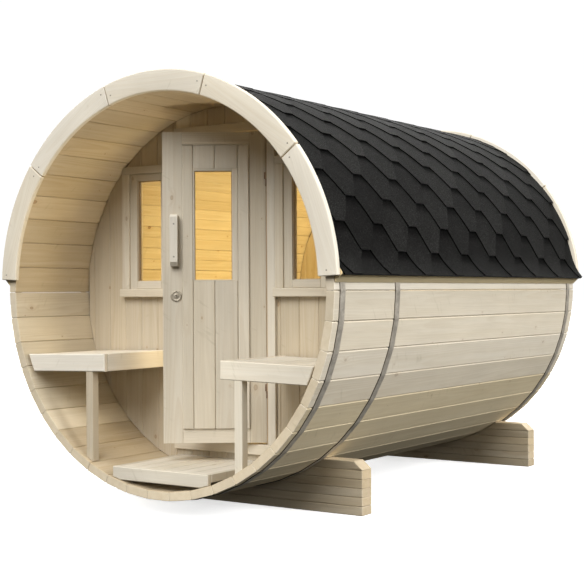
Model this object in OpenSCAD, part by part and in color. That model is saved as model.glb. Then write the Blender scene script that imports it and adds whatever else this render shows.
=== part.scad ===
// Barrel sauna with a recessed front wall, an open porch with two benches,
// a shingled roof and two timber cradles. Millimetres, +Z up, +Y to the rear.
// The front of the barrel faces -Y.

/* [Barrel] */
// Radius over the outer corners of the staves
barrel_r = 1025; // [950:5:1100]
// Length of the staves
barrel_len = 2859; // [2700:1:3000]
// Number of flat staves around the barrel
stave_n = 46; // [46:1:46]
// Stave thickness
stave_t = 45; // [40:1:48]
// Gap left at each stave joint
stave_gap = 1; // [0.5:0.1:2]
// Height of the barrel axis above the ground
axis_h = 1116; // [1110:1:1130]

/* [Arch trim] */
// Inner radius of the arch boards
arch_in = 952; // [945:1:965]
// Outer radius of the arch boards
arch_out = 1058; // [1050:1:1065]
// Height of the arch's centre above the barrel axis
arch_rise = 26; // [20:1:30]
// Thickness of the arch boards
arch_t = 28; // [22:1:32]
// Boards in each arch
arch_n = 5; // [5:1:5]
// Angle covered by one arch board
arch_step = 35.1; // [34.5:0.1:35.3]

/* [Roof] */
// Thickness of the shingle layer
shingle_t = 8; // [6:1:10]
// Half width of the roof at the eave
eave_x = 1085; // [1075:1:1100]
// Height of the eave edge above the barrel axis
eave_z = 75; // [65:1:85]
// Half width of the roof at the middle of the flared eave
flare_x = 1050; // [1040:1:1060]
// Height of that line above the barrel axis
flare_z = 120; // [110:1:130]
// Width of the shingles beyond the batten
overhang = 12; // [10:1:25]

/* [Steel bands] */
// Width of a band
band_w = 45; // [35:1:55]
// Thickness of a band
band_t = 2; // [1:0.1:2]

/* [Front wall] */
// Distance from the stave ends to the face of the front wall
porch_d = 556; // [540:1:580]
// Wall board thickness
wall_t = 45; // [40:1:48]
// Width of one wall board
wall_board = 116; // [116:1:116]

/* [Door] */
// Clear width between the jambs
door_clear = 552; // [552:1:556]
// Face width of a jamb
jamb_w = 52; // [52:1:52]
// Width of the leaf
leaf_w = 532; // [525:1:536]
// Lower edge of the leaf, from the barrel axis
leaf_bot = -781; // [-782:1:-780]
// Upper edge of the leaf, from the barrel axis
leaf_top = 820; // [815:1:822]
// Angle at which the door stands open
door_open = 34.5; // [0:0.5:80]

/* [Windows] */
// Near edge of the window opening, from the middle
win_x0 = 380; // [380:1:384]
// Far edge of the window opening, from the middle
win_x1 = 651; // [640:1:655]
// Lower edge of the window opening
win_z0 = 16; // [10:1:20]
// Upper edge of the window opening
win_z1 = 649; // [630:1:655]

/* [Benches] */
// Inner edge of a bench, from the middle
bench_x = 369; // [365:1:380]
// Height of the inner edge of the left seat, from the barrel axis
bench_z_left = -315; // [-330:1:-310]
// Height of the inner edge of the right seat, from the barrel axis
bench_z_right = -329; // [-335:1:-310]
// Height of the fascia boards
bench_h = 90; // [80:1:100]
// Slope of the seats down toward the barrel
bench_tilt = 1.4; // [0:0.1:3]

/* [Floors] */
// Half width of the porch floor
porch_half = 302; // [290:1:305]
// Top of the porch floor, from the barrel axis
porch_z = -877; // [-890:1:-870]
// Top of the cabin floor, from the barrel axis
cabin_z = -848; // [-850:1:-840]

/* [Cradles] */
// Half length of a cradle
cradle_half = 806; // [780:1:830]
// Thickness of a cradle
cradle_t = 90; // [80:1:100]
// Upper face of a cradle, from the barrel axis
cradle_top = -846; // [-860:1:-830]

/* [Hidden] */
$fn = 96;
// Angle of one stave
st = 360 / stave_n;
// Distances of the flat stave faces from the axis
ap_out = barrel_r * cos(st / 2);
ap_in = ap_out - stave_t;
// Corner radius of the inside of the barrel
in_r = ap_in / cos(st / 2);
// Clip radius for pieces that meet the inside of the barrel
clip_r = ap_in - 1;
mid_y = barrel_len / 2;
wall_y0 = porch_d;
wall_y1 = porch_d + wall_t;
back_y0 = barrel_len - 114;
jamb_x0 = door_clear / 2;
jamb_x1 = jamb_x0 + jamb_w;
frame_y = porch_d - 16;
// Hinge line of the door
hinge_x = 272;
hinge_y = 546;
hinge_z = [575, -515];
knuckle = 36;
leaf_x1 = hinge_x - 1;
leaf_face = 551;
leaf_back = 584;
panel_face = 539;

WOOD = [0.86, 0.78, 0.64];
TRIM = [0.89, 0.83, 0.71];
STEEL = [0.60, 0.61, 0.62];
ROOF = [0.23, 0.24, 0.25];
PANE = [0.80, 0.72, 0.50, 0.55];

// Moves from the barrel axis at the front stave ends to the ground at mid length
module place() { translate([0, -mid_y, axis_h]) children(); }

// Extrudes an XZ outline from y0 to y1
module along(y0, y1) {
  translate([0, y1, 0]) rotate([90, 0, 0]) linear_extrude(height = y1 - y0) children();
}

function pol(r, a) = [r * cos(a), r * sin(a)];

// Outline of the stave polygon with corner radius r
module ngon(r) { polygon([for (k = [0 : stave_n - 1]) pol(r, k * st)]); }

// Rectangle by its corners
module rect(x0, x1, z0, z1) { translate([x0, z0]) square([x1 - x0, z1 - z0]); }

module block(x0, x1, y0, y1, z0, z1) {
  translate([x0, y0, z0]) cube([x1 - x0, y1 - y0, z1 - z0]);
}

// ---------------------------------------------------------------- barrel

module stave(k) {
  wo = barrel_r * sin(st / 2) - stave_gap / 2;
  wi = in_r * sin(st / 2) - stave_gap / 2;
  along(0, barrel_len)
    rotate((k + 0.5) * st)
      polygon([[ap_in, -wi], [ap_out, -wo], [ap_out, wo], [ap_in, wi]]);
}

module staves(k0, k1) { place() color(WOOD) for (k = [k0 : k1]) stave(k); }

module right_upper_staves() { staves(0, 5); }
module roof_staves() { staves(6, 16); }
module left_upper_staves() { staves(17, 22); }
module left_lower_staves() { staves(23, 28); }
module floor_staves() { staves(29, 39); }
module right_lower_staves() { staves(40, 45); }

// One arch board, cut to the curve on both edges
module arch_board(k) {
  a0 = 90 - arch_n * arch_step / 2 + k * arch_step + 0.07;
  a1 = a0 + arch_step - 0.14;
  difference() {
    intersection() {
      circle(r = arch_out);
      polygon([[0, 0], pol(1300, a0), pol(1300, (a0 + a1) / 2), pol(1300, a1)]);
    }
    circle(r = arch_in);
  }
}

module arch(y0) {
  place() color(TRIM) along(y0, y0 + arch_t) translate([0, arch_rise])
    for (k = [0 : arch_n - 1]) arch_board(k);
}

module front_arch() { arch(-arch_t); }
module rear_arch() { arch(barrel_len); }

// The roof is concentric with the arch boards
function lifted(r, a) = [r * cos(a), arch_rise + r * sin(a)];
// Line of the roof surface, lifted by d over the bands
function roof_r(d) = barrel_r + band_t + 0.6 + d;
// Direction across the flared eave
eave_n = [0.79, 0.61];
function eave_tip(d) = [eave_x - (shingle_t - d) * eave_n[0], eave_z - (shingle_t - d) * eave_n[1]];
// A point of the flare, lifted by d across a surface that leans by the angle a
function flare(d, x, z, a) = [x - (shingle_t - d) * cos(a), z - (shingle_t - d) * sin(a)];
function roof_side(d) = concat(
  [eave_tip(d), flare(d, flare_x, flare_z, 25.5), flare(d, flare_x - 19, flare_z + 51, 15), lifted(roof_r(d), 1.6 * st)],
  [for (k = [2 : 11]) lifted(roof_r(d), k * st)]);
function flip(p) = [for (i = [len(p) - 1 : -1 : 0]) [-p[i][0], p[i][1]]];
function back(p) = [for (i = [len(p) - 1 : -1 : 0]) p[i]];
function roof_line(d) = concat(roof_side(d), flip(roof_side(d)));

module shingle_roof() {
  place() color(ROOF) along(0.3, barrel_len - 0.3)
    polygon(concat(roof_line(shingle_t), back(roof_line(0))));
}

// Tapered strip that carries the flared lower edge of the shingles
module batten() {
  t = eave_tip(-0.3);
  m = flare(-0.3, flare_x, flare_z, 25.5);
  u = flare(-0.3, flare_x - 19, flare_z + 51, 15);
  k = overhang / (t[0] - m[0]);
  along(0.3, barrel_len - 0.3)
    polygon([
      [barrel_r * 0.9985 + band_t, eave_z - 38],
      t + k * (m - t) - [0, 11],
      t + k * (m - t),
      m,
      u,
      [u[0] - 9, u[1]],
      pol(barrel_r + band_t + 0.4, st)
    ]);
}
module right_eave_batten() { place() color(TRIM) batten(); }
module left_eave_batten() { place() color(TRIM) mirror([1, 0, 0]) batten(); }

module band(y0) {
  along(y0, y0 + band_w) difference() {
    ngon(barrel_r + band_t);
    ngon(barrel_r + 0.1);
  }
}
module steel_bands() {
  place() color(STEEL) { band(43); band(550); band(barrel_len - 118); }
}

// ---------------------------------------------------------------- end walls

// Wall boards between two sides, cut out around the window
module wall_boards(x0, x1, wx0, wx1) {
  for (k = [-9 : 8]) {
    b0 = max(x0, 3 + wall_board * k + 0.5);
    b1 = min(x1, 3 + wall_board * (k + 1) - 0.5);
    if (b1 - b0 > 12)
      along(wall_y0, wall_y1) difference() {
        intersection() { ngon(in_r - 0.4); rect(b0, b1, -1000, 1000); }
        rect(wx0, wx1, win_z0, win_z1);
      }
  }
}
module front_wall_left() {
  place() color(WOOD) wall_boards(-in_r, -jamb_x1 - 0.3, -win_x1, -win_x0);
}
module front_wall_right() {
  place() color(WOOD) wall_boards(jamb_x1 + 0.3, in_r, win_x0, win_x1);
}
module front_wall_over_door() {
  place() color(WOOD) along(wall_y0, wall_y1)
    intersection() { ngon(in_r - 0.4); rect(-jamb_x1, jamb_x1, 880.3, 1000); }
}
module front_wall_below_door() {
  place() color(WOOD) along(wall_y0, wall_y1)
    intersection() { ngon(in_r - 0.4); rect(-jamb_x1, jamb_x1, -1000, -845.3); }
}
module rear_wall() {
  place() color(WOOD) along(back_y0, back_y0 + wall_t) ngon(in_r - 0.4);
}

// ---------------------------------------------------------------- door frame

module jamb() { block(jamb_x0, jamb_x1, frame_y, wall_y1, -789.7, 831.7); }
// The right jamb is let in for the hinges
module door_jamb_right() {
  place() color(TRIM) difference() {
    jamb();
    for (z = hinge_z)
      block(jamb_x0 - 1, jamb_x0 + 5, frame_y - 1, hinge_y + 10, z - knuckle - 4, z + knuckle + 6);
  }
}
module door_jamb_left() { place() color(TRIM) mirror([1, 0, 0]) jamb(); }
module door_head() { place() color(TRIM) block(-jamb_x1, jamb_x1, frame_y, wall_y1, 832, 880); }
module door_threshold() {
  place() color(TRIM) block(-jamb_x1, jamb_x1, frame_y - 12, wall_y1, -845, -790);
}

// ---------------------------------------------------------------- windows

module casing() {
  // boards around the opening, the outer top corner cut to the barrel
  along(wall_y0 - 18, wall_y0)
    difference() {
      intersection() {
        rect(jamb_x1 + 1, win_x1 + 52, win_z0 + 0.3, win_z1 + 42);
        circle(r = clip_r);
      }
      rect(win_x0, win_x1, win_z0 - 5, win_z1);
    }
  // sill
  block(jamb_x1 + 1, win_x1 + 52, wall_y0 - 40, wall_y0, win_z0 - 45, win_z0);
}
module sash() {
  along(wall_y0 - 8, wall_y1 - 3) difference() {
    rect(win_x0 + 0.4, win_x1 - 0.4, win_z0 + 0.4, win_z1 - 0.4);
    rect(win_x0 + 51, win_x1 - 51, win_z0 + 41, win_z1 - 39);
  }
}
module pane() {
  along(wall_y0 + 14, wall_y0 + 20)
    rect(win_x0 + 51.2, win_x1 - 51.2, win_z0 + 41.2, win_z1 - 39.2);
}
module right_window_casing() { place() color(TRIM) casing(); }
module left_window_casing() { place() color(TRIM) mirror([1, 0, 0]) casing(); }
module right_window_sash() { place() color(TRIM) sash(); }
module left_window_sash() { place() color(TRIM) mirror([1, 0, 0]) sash(); }
module right_window_glass() { place() color(PANE) pane(); }
module left_window_glass() { place() color(PANE) mirror([1, 0, 0]) pane(); }

// ---------------------------------------------------------------- benches

bench_y0 = 20;
fascia_t = 28;
slat_t = 28;
seat_n = 5;
seat_gap = 8;
seat_w = 98;

// Tilts a seat about its inner upper edge
module tilted(z) { translate([bench_x, 0, z]) rotate([0, bench_tilt, 0]) children(); }

// Keeps what lies inside the barrel
module inside() {
  intersection() {
    children();
    translate([0, 900, 0]) rotate([90, 0, 0]) cylinder(r = clip_r, h = 950, $fn = 180);
  }
}

// Front and inner fascia boards with the ledger on the wall
module bench_frame(z) {
  inside() tilted(z) union() {
    block(0, 640, bench_y0, bench_y0 + fascia_t, -bench_h, 0);
    block(0, fascia_t, bench_y0 + fascia_t - 1, porch_d - 20, -bench_h, 0);
    block(fascia_t - 1, 640, porch_d - 48, porch_d - 20, -bench_h, -slat_t - 3);
    block(0, fascia_t, porch_d - 21, porch_d - 0.5, -bench_h, -slat_t - 3);
  }
}
module bench_slats(z) {
  for (i = [0 : seat_n - 1])
    inside() tilted(z)
      block(fascia_t + 1 + i * (seat_w + seat_gap), fascia_t + 1 + i * (seat_w + seat_gap) + seat_w,
            bench_y0 + fascia_t + 0.5, porch_d - 18.5, -slat_t - 2, -2);
}
module bench_post(z) {
  inside() block(450, 495, bench_y0 + 2, bench_y0 + 47, -960, z - bench_h - 3.6);
}
module right_bench_frame() { place() color(TRIM) bench_frame(bench_z_right); }
module right_bench_slats() { place() color(TRIM) bench_slats(bench_z_right); }
module right_bench_post() { place() color(TRIM) bench_post(bench_z_right); }
module left_bench_frame() { place() color(TRIM) mirror([1, 0, 0]) bench_frame(bench_z_left); }
module left_bench_slats() { place() color(TRIM) mirror([1, 0, 0]) bench_slats(bench_z_left); }
module left_bench_post() { place() color(TRIM) mirror([1, 0, 0]) bench_post(bench_z_left); }

// ---------------------------------------------------------------- floors

floor_t = 28;
floor_n = 6;
floor_y0 = 6;

// Cross board cut to the curve of the barrel at its lower corners
module cross_board(y0, y1, half, top, bottom) {
  along(y0, y1) intersection() {
    rect(-half, half, bottom, top);
    circle(r = clip_r);
  }
}
module porch_floor_frame() {
  place() color(TRIM) union() {
    cross_board(floor_y0, floor_y0 + 28, porch_half, porch_z, porch_z - 66);
    for (s = [-1, 1])
      block(s > 0 ? porch_half - 28 : -porch_half, s > 0 ? porch_half : -porch_half + 28,
            floor_y0 + 27, porch_d - 1, porch_z - 40, porch_z);
    cross_board(270, 298, porch_half - 27, porch_z - floor_t, porch_z - 66);
    cross_board(porch_d - 40, porch_d - 12, porch_half - 27, porch_z - floor_t, porch_z - 66);
  }
}
module porch_floor_slats() {
  w = (2 * (porch_half - 28) - 2 - 5 * 7) / floor_n;
  place() color(TRIM) for (i = [0 : floor_n - 1])
    translate([-porch_half + 29 + i * (w + 7), floor_y0 + 28.5, porch_z - floor_t + 0.5])
      cube([w, porch_d - floor_y0 - 30, floor_t - 1]);
}
module cabin_floor() {
  place() color(WOOD) union() {
    along(wall_y1 + 1, back_y0 - 1) intersection() {
      rect(-470, 470, cabin_z - 28, cabin_z);
      circle(r = clip_r);
    }
    for (y = [wall_y1 + 60, mid_y + 200, back_y0 - 120])
      cross_board(y, y + 60, 400, cabin_z - 27, cabin_z - 70);
  }
}

// ---------------------------------------------------------------- cradles

module cradle(y0) {
  place() color(TRIM) along(y0, y0 + cradle_t) difference() {
    polygon([
      [-cradle_half, -axis_h], [cradle_half, -axis_h],
      [cradle_half, cradle_top - 42], [cradle_half - 48, cradle_top],
      [-cradle_half + 48, cradle_top], [-cradle_half, cradle_top - 42]
    ]);
    ngon(barrel_r + 0.2);
  }
}
module front_cradle() { cradle(600); }
module rear_cradle() { cradle(barrel_len - 209); }

// ---------------------------------------------------------------- door

// Turns the leaf from its closed place to the angle at which it stands open
module opened() {
  translate([hinge_x, hinge_y, 0]) rotate([0, 0, door_open])
    translate([-hinge_x, -hinge_y, 0]) children();
}
// x of a point at distance u from the hinge edge of the leaf
function lx(u) = leaf_x1 - u;
glass_u0 = 174;
glass_u1 = 366;
glass_z0 = 60;
glass_z1 = 618;

module door_leaf() {
  place() opened() color(TRIM) difference() {
    union() {
      block(lx(leaf_w), lx(0), leaf_face, leaf_back, leaf_bot, leaf_top);
      block(lx(430), lx(86), panel_face, leaf_face + 1, -705, 762);
    }
    block(lx(glass_u1), lx(glass_u0), panel_face - 5, leaf_back + 5, glass_z0, glass_z1);
  }
}
module door_glass() {
  place() opened() color(PANE)
    block(lx(glass_u1 - 0.2), lx(glass_u0 + 0.2), leaf_face + 2, leaf_face + 8, glass_z0 + 0.2, glass_z1 - 0.2);
}
module door_handle() {
  place() opened() color(TRIM) block(lx(492), lx(450), leaf_face - 45, leaf_face, 130, 394);
}
module door_lock() {
  place() opened() color(STEEL) translate([lx(463), leaf_face, -23]) rotate([90, 0, 0])
    difference() {
      cylinder(r = 29, h = 6);
      translate([0, 4, 2]) cylinder(r = 5, h = 8);
      translate([-2.5, -14, 2]) cube([5, 16, 8]);
    }
}

// Lower half of each hinge with the pin, on the right jamb
module frame_hinges() {
  place() color(STEEL) for (z = hinge_z) union() {
    translate([hinge_x, hinge_y, z - knuckle]) cylinder(r = 4.5, h = knuckle);
    translate([hinge_x, hinge_y, z - 1]) cylinder(r = 2.5, h = knuckle + 3);
    block(hinge_x, jamb_x0 + 4.6, frame_y - 2.6, hinge_y, z - knuckle, z);
    block(jamb_x0 + 1, jamb_x0 + 34, frame_y - 2.6, frame_y - 0.1, z - knuckle - 12, z);
  }
}
// Upper half of each hinge, on the leaf
module door_hinges() {
  place() opened() color(STEEL) for (z = hinge_z) difference() {
    union() {
      translate([hinge_x, hinge_y, z + 0.8]) cylinder(r = 4.5, h = knuckle - 1);
      block(lx(9), lx(-1), hinge_y - 2, leaf_face - 0.1, z + 0.8, z + knuckle - 0.2);
      block(lx(40), lx(4), leaf_face - 2.6, leaf_face - 0.1, z + 0.8, z + knuckle + 12);
    }
    translate([hinge_x, hinge_y, z - 5]) cylinder(r = 2.7, h = knuckle + 20);
  }
}

// ---------------------------------------------------------------- drawing

floor_staves();
left_lower_staves();
left_upper_staves();
roof_staves();
right_upper_staves();
right_lower_staves();
front_arch();
rear_arch();
shingle_roof();
left_eave_batten();
right_eave_batten();
steel_bands();
front_wall_left();
front_wall_right();
front_wall_over_door();
front_wall_below_door();
rear_wall();
door_jamb_left();
door_jamb_right();
door_head();
door_threshold();
left_window_casing();
left_window_sash();
left_window_glass();
right_window_casing();
right_window_sash();
right_window_glass();
left_bench_frame();
left_bench_slats();
left_bench_post();
right_bench_frame();
right_bench_slats();
right_bench_post();
porch_floor_frame();
porch_floor_slats();
cabin_floor();
front_cradle();
rear_cradle();
frame_hinges();
door_hinges();
door_leaf();
door_glass();
door_handle();
door_lock();
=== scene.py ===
import bpy
import math
import random
from mathutils import Matrix, Vector


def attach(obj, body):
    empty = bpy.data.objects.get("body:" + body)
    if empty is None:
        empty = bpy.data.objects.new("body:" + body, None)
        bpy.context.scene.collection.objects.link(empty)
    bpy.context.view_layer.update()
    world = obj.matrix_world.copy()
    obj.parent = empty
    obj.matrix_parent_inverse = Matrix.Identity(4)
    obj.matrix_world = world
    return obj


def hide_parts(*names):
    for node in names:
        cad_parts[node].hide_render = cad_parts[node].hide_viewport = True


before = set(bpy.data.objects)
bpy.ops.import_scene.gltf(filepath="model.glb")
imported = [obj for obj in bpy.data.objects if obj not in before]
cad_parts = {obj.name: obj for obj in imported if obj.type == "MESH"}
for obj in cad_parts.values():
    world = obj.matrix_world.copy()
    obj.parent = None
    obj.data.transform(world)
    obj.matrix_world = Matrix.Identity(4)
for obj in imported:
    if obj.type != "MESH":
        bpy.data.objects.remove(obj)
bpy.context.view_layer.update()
rng = random.Random(46)

# Lengths below are millimetres from the barrel axis at the front stave ends:
# X to the right as seen from the porch, Y to the rear, Z up.
MID_Y, AXIS_H = 1429.5, 1116.0
X, Y, Z = Vector((1, 0, 0)), Vector((0, 1, 0)), Vector((0, 0, 1))


def row(p):
    """A point in millimetres as a point of the row frame in metres."""
    return (p[0] / 1000, (p[1] - MID_Y) / 1000, (p[2] + AXIS_H) / 1000)


# ---------------------------------------------------------------- materials


class Shade:
    """A material with a Principled shader, and short calls for its nodes."""

    def __init__(self, name):
        self.mat = bpy.data.materials.new(name)
        self.mat.use_nodes = True
        self.t = self.mat.node_tree
        self.t.nodes.clear()
        self.out = self.t.nodes.new("ShaderNodeOutputMaterial")
        self.bsdf = self.t.nodes.new("ShaderNodeBsdfPrincipled")
        self.t.links.new(self.bsdf.outputs[0], self.out.inputs["Surface"])

    def put(self, sock, v):
        if isinstance(v, bpy.types.NodeSocket):
            self.t.links.new(v, sock)
        else:
            if sock.type == "RGBA" and len(v) == 3:
                v = (*v, 1.0)
            sock.default_value = v

    def set(self, **kw):
        for k, v in kw.items():
            self.put(self.bsdf.inputs[k.replace("_", " ")], v)

    def attr(self, name):
        n = self.t.nodes.new("ShaderNodeAttribute")
        n.attribute_name = name
        return n

    def math(self, op, a, b=0.0, c=0.0):
        n = self.t.nodes.new("ShaderNodeMath")
        n.operation = op
        for i, v in enumerate((a, b, c)):
            self.put(n.inputs[i], v)
        return n.outputs[0]

    def mul(self, a, b):
        return self.math("MULTIPLY", a, b)

    def vec(self, op, a, b=(0, 0, 0), s=1.0):
        n = self.t.nodes.new("ShaderNodeVectorMath")
        n.operation = op
        self.put(n.inputs[0], a)
        self.put(n.inputs[1], b)
        if op == "SCALE":
            self.put(n.inputs["Scale"], s)
        return n.outputs["Value"] if op in ("LENGTH", "DOT_PRODUCT") else n.outputs[0]

    def ease(self, v, a, b, lo=0.0, hi=1.0, kind="SMOOTHSTEP"):
        n = self.t.nodes.new("ShaderNodeMapRange")
        n.interpolation_type = kind
        for i, w in enumerate((v, a, b, lo, hi)):
            self.put(n.inputs[i], w)
        return n.outputs[0]

    def mix(self, f, a, b):
        n = self.t.nodes.new("ShaderNodeMix")
        n.data_type = "RGBA"
        self.put(n.inputs[0], f)
        self.put(n.inputs[6], a)
        self.put(n.inputs[7], b)
        return n.outputs[2]

    def split(self, v, colour=False):
        n = self.t.nodes.new("ShaderNodeSeparateColor" if colour else "ShaderNodeSeparateXYZ")
        self.put(n.inputs[0], v)
        return n.outputs[0], n.outputs[1], n.outputs[2]

    def join(self, x, y, z):
        n = self.t.nodes.new("ShaderNodeCombineXYZ")
        for i, v in enumerate((x, y, z)):
            self.put(n.inputs[i], v)
        return n.outputs[0]

    def noise(self, v, scale=1.0, detail=2.0, rough=0.5):
        n = self.t.nodes.new("ShaderNodeTexNoise")
        self.put(n.inputs["Vector"], v)
        self.put(n.inputs["Scale"], scale)
        self.put(n.inputs["Detail"], detail)
        self.put(n.inputs["Roughness"], rough)
        return n.outputs[0]

    def cells(self, v, dims="3D", scale=1.0, random_=1.0):
        n = self.t.nodes.new("ShaderNodeTexVoronoi")
        n.voronoi_dimensions = dims
        self.put(n.inputs["Vector"], v)
        self.put(n.inputs["Scale"], scale)
        self.put(n.inputs["Randomness"], random_)
        return n

    def bump(self, h, strength, dist):
        n = self.t.nodes.new("ShaderNodeBump")
        self.put(n.inputs["Strength"], strength)
        self.put(n.inputs["Distance"], dist)
        self.put(n.inputs["Height"], h)
        self.put(self.bsdf.inputs["Normal"], n.outputs[0])


def wood(name, pale, deep, late, tone_amp=0.20, knots=0.40, ring=0.42, rough=0.62, mark=1.0):
    """Softwood. Each board carries its own grain coordinates (along, across and through,
    in metres, measured from its pith), a tone and a tint; a tone set low or a tint set full paints shade on a board."""
    m = Shade(name)
    g = m.attr("grain").outputs["Vector"]
    tone = m.attr("tone").outputs["Fac"]
    tint = m.attr("tint").outputs["Fac"]
    end = m.attr("endg").outputs["Fac"]
    gx, gy, gz = m.split(g)
    # knots: one chance in each cell of 0.46 m by 0.12 m
    kv = m.vec("MULTIPLY", g, (1 / 0.46, 1 / 0.12, 0.0))
    cell = m.cells(kv, "2D", 1.0, 0.9)
    d = m.vec("MULTIPLY", m.vec("SUBTRACT", kv, cell.outputs["Position"]), (0.46 * 0.62, 0.12, 0.0))
    wob = m.noise(m.vec("MULTIPLY", g, (60, 90, 0)), 1.0, 1.0)
    dist = m.math("ADD", m.vec("LENGTH", d), m.mul(m.math("SUBTRACT", wob, 0.5), 0.004))
    cr, cg, cb = m.split(cell.outputs["Color"], True)
    size = m.ease(m.math("POWER", cg, 1.8), 0.0, 1.0, 0.0022, 0.0095, "LINEAR")
    u = m.math("DIVIDE", dist, size)
    has = m.ease(cr, 1.0 - knots, 1.0 - knots + 0.02)
    core = m.mul(has, m.ease(u, 1.15, 0.75))
    rim = m.mul(m.mul(has, m.ease(u, 1.35, 1.0)), m.ease(u, 0.55, 0.95))
    halo = m.mul(has, m.ease(u, 5.0, 0.8))
    # growth rings about the pith
    warp = m.noise(m.vec("MULTIPLY", g, (1.4, 11, 11)), 1.0, 2.0)
    r = m.vec("LENGTH", m.join(0.0, gy, gz))
    r = m.math("ADD", r, m.mul(m.math("SUBTRACT", warp, 0.5), 0.018))
    r = m.math("ADD", r, m.mul(halo, 0.006))
    t = m.math("FRACT", m.math("DIVIDE", r, 0.0064))
    ringl = m.mul(m.ease(t, 0.30, 0.90), m.ease(t, 1.0, 0.93))
    fade = m.noise(m.vec("MULTIPLY", g, (0.5, 6, 6)), 1.0, 1.0)
    ringl = m.mul(ringl, m.ease(fade, 0.28, 0.72, 0.35, 1.0))
    streak = m.noise(m.vec("MULTIPLY", g, (0.9, 30, 30)), 1.0, 4.0, 0.6)
    fibre = m.noise(m.vec("MULTIPLY", g, (7, 330, 330)), 1.0, 2.0)
    blot = m.noise(m.vec("MULTIPLY", g, (3.0, 8, 8)), 1.0, 2.0)
    c = m.mix(m.ease(streak, 0.30, 0.72), pale, deep)
    c = m.mix(m.mul(ringl, ring), c, late)
    fleck = m.noise(m.vec("MULTIPLY", m.join(m.math("ADD", gx, m.mul(gy, 0.55)), gy, gz), (34, 9, 9)), 1.0, 2.0, 0.6)
    where = m.noise(m.vec("MULTIPLY", g, (1.7, 7, 7)), 1.0, 1.0)
    c = m.mix(m.mul(m.ease(fleck, 0.60, 0.74), m.ease(where, 0.46, 0.62, 0.0, 0.34)), c, m.vec("MULTIPLY", c, (0.70, 0.69, 0.62)))
    c = m.mix(m.ease(tint, 0.0, 1.0, 0.0, 0.75, "LINEAR"), c, m.vec("MULTIPLY", c, (1.0, 0.965, 0.89)))
    k = m.math("ADD", 1.0, m.mul(m.math("SUBTRACT", tone, 0.5), tone_amp))
    k = m.mul(k, m.ease(fibre, 0.25, 0.75, 0.955, 1.035, "LINEAR"))
    k = m.mul(k, m.ease(blot, 0.25, 0.75, 0.95, 1.04, "LINEAR"))
    c = m.vec("SCALE", c, s=k)
    c = m.mix(m.mul(end, 0.8), c, m.vec("MULTIPLY", c, (0.90, 0.85, 0.77)))
    c = m.mix(m.mul(halo, 0.24 * mark), c, (0.46, 0.31, 0.16))
    c = m.mix(m.mul(core, 0.66 * mark), c, (0.27, 0.155, 0.07))
    c = m.mix(m.mul(rim, 0.48 * mark), c, (0.14, 0.078, 0.036))
    m.set(Base_Color=c, Roughness=m.ease(streak, 0.2, 0.8, rough - 0.07, rough + 0.08, "LINEAR"), Specular_IOR_Level=0.30)
    h = m.math("ADD", m.mul(fibre, 0.55), m.mul(ringl, 0.5))
    h = m.math("SUBTRACT", h, m.mul(core, 0.4))
    m.bump(h, 0.30, 0.0007)
    return m.mat


def shingle_felt(name):
    """Mineral felt: stone granules, each tab with its own tone, and painted shade that darkens it under the tab
    above.
    """
    m = Shade(name)
    g = m.attr("grain").outputs["Vector"]
    tone = m.attr("tone").outputs["Fac"]
    edge = m.attr("endg").outputs["Fac"]
    gx, gy, gz = m.split(g)
    grit = m.cells(m.vec("MULTIPLY", g, (1, 1, 9)), "3D", 340.0)
    gr, gg, gb = m.split(grit.outputs["Color"], True)
    fine = m.noise(g, 150.0, 3.0, 0.7)
    patch = m.noise(m.vec("MULTIPLY", g, (1, 1, 5)), 9.0, 3.0, 0.6)
    c = m.mix(m.ease(fine, 0.3, 0.7), (0.0045, 0.0045, 0.0042), (0.0113, 0.0112, 0.0104))
    c = m.mix(m.ease(gr, 0.84, 0.98, 0.0, 0.45), c, (0.048, 0.0476, 0.0450))
    k = m.ease(tone, 0.0, 1.0, 0.72, 1.32, "LINEAR")
    k = m.mul(k, m.ease(patch, 0.25, 0.75, 0.82, 1.18, "LINEAR"))
    # painted shade: each tab is lighter at its butt and darker up towards the tab above, darkest just below that
    # tab's butt
    k = m.mul(k, m.ease(gy, 0.205, 0.243, 1.0, 0.36))
    k = m.mul(k, m.ease(gy, 0.02, 0.20, 1.16, 0.84))
    c = m.vec("SCALE", c, s=k)
    # near-black edge faces: the bare bitumen, and painted shadow along the butts
    c = m.mix(m.mul(edge, 0.9), c, (0.0015, 0.0015, 0.0015))
    m.set(Base_Color=c, Roughness=m.ease(gg, 0.0, 1.0, 0.78, 0.92, "LINEAR"), Specular_IOR_Level=0.03, Sheen_Weight=0.09, Sheen_Roughness=0.30)
    h = m.math("ADD", m.mul(grit.outputs["Distance"], -1.0), m.mul(fine, 0.6))
    m.bump(h, 0.35, 0.0010)
    return m.mat


def metal(name, lo, hi, r0, r1, stretch=(1, 1, 1), weight=1.0):
    """Zinc-coated steel with cloudy spangle and fine scratches."""
    m = Shade(name)
    g = m.attr("grain").outputs["Vector"]
    cloud = m.noise(m.vec("MULTIPLY", g, stretch), 30.0, 3.0, 0.6)
    sp = m.cells(g, "3D", 120.0)
    sr, sg, sb = m.split(sp.outputs["Color"], True)
    fine = m.noise(m.vec("MULTIPLY", g, stretch), 500.0, 2.0)
    c = m.mix(m.ease(cloud, 0.3, 0.7), lo, hi)
    c = m.vec("SCALE", c, s=m.ease(sr, 0.0, 1.0, 0.92, 1.06, "LINEAR"))
    m.set(Base_Color=c, Metallic=weight, Roughness=m.ease(cloud, 0.25, 0.75, r0, r1, "LINEAR"))
    m.bump(fine, 0.10, 0.0003)
    return m.mat


def pane_glass(name):
    m = Shade(name)
    g = m.attr("grain").outputs["Vector"]
    smear = m.noise(m.vec("MULTIPLY", g, (3, 3, 3)), 2.0, 3.0, 0.6)
    m.set(
        Base_Color=m.mix(m.ease(smear, 0.3, 0.7), (0.985, 0.985, 0.975), (0.955, 0.965, 0.955)),
        Roughness=m.ease(smear, 0.35, 0.75, 0.0, 0.035),
        Transmission_Weight=1.0,
        IOR=1.18,
    )
    return m.mat


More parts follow.
